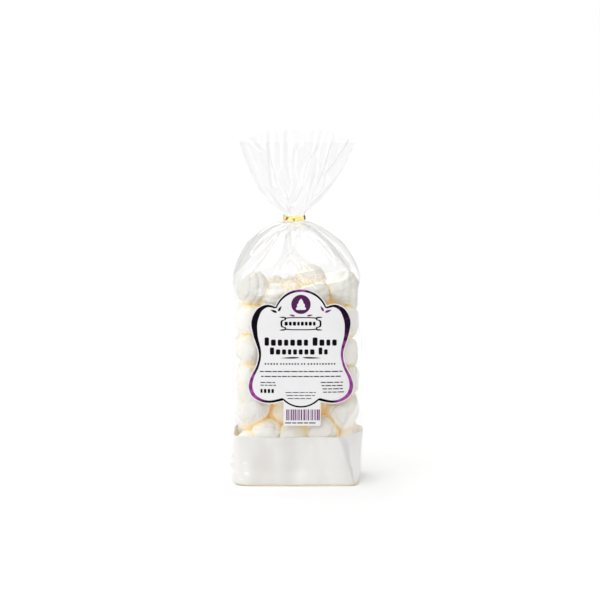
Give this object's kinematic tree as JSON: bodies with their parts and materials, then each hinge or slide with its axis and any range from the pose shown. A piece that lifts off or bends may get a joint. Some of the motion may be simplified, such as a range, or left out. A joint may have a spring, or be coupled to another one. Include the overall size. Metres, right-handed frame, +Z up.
{
  "type": "bag of meringues",
  "caption": "Upright clear gift bag of piped meringues, tied at a pleated neck with a gold strip, on a gold board in a white card band, with a scalloped front label.",
  "frame": {"origin": "under the middle of the bag, on the plane that the gold board stands on", "axes": "+Z up from the board to the fanned top, -Y out of the front with the label, +X to the label's right"},
  "size_m": [0.1282, 0.0736, 0.335],
  "materials": {
    "clear_film": "gloss",
    "meringue": "matte",
    "white_card": "satin",
    "gold_board": "satin",
    "gold_strip": "satin",
    "label_paper": "satin",
    "label_ink": "gloss"
  },
  "bodies": {
    "root": {"base_board": "gold_board", "card_band": "white_card", "bag": "clear_film", "tie": "gold_strip", "label": "label_paper"}
  },
  "joints": []
}
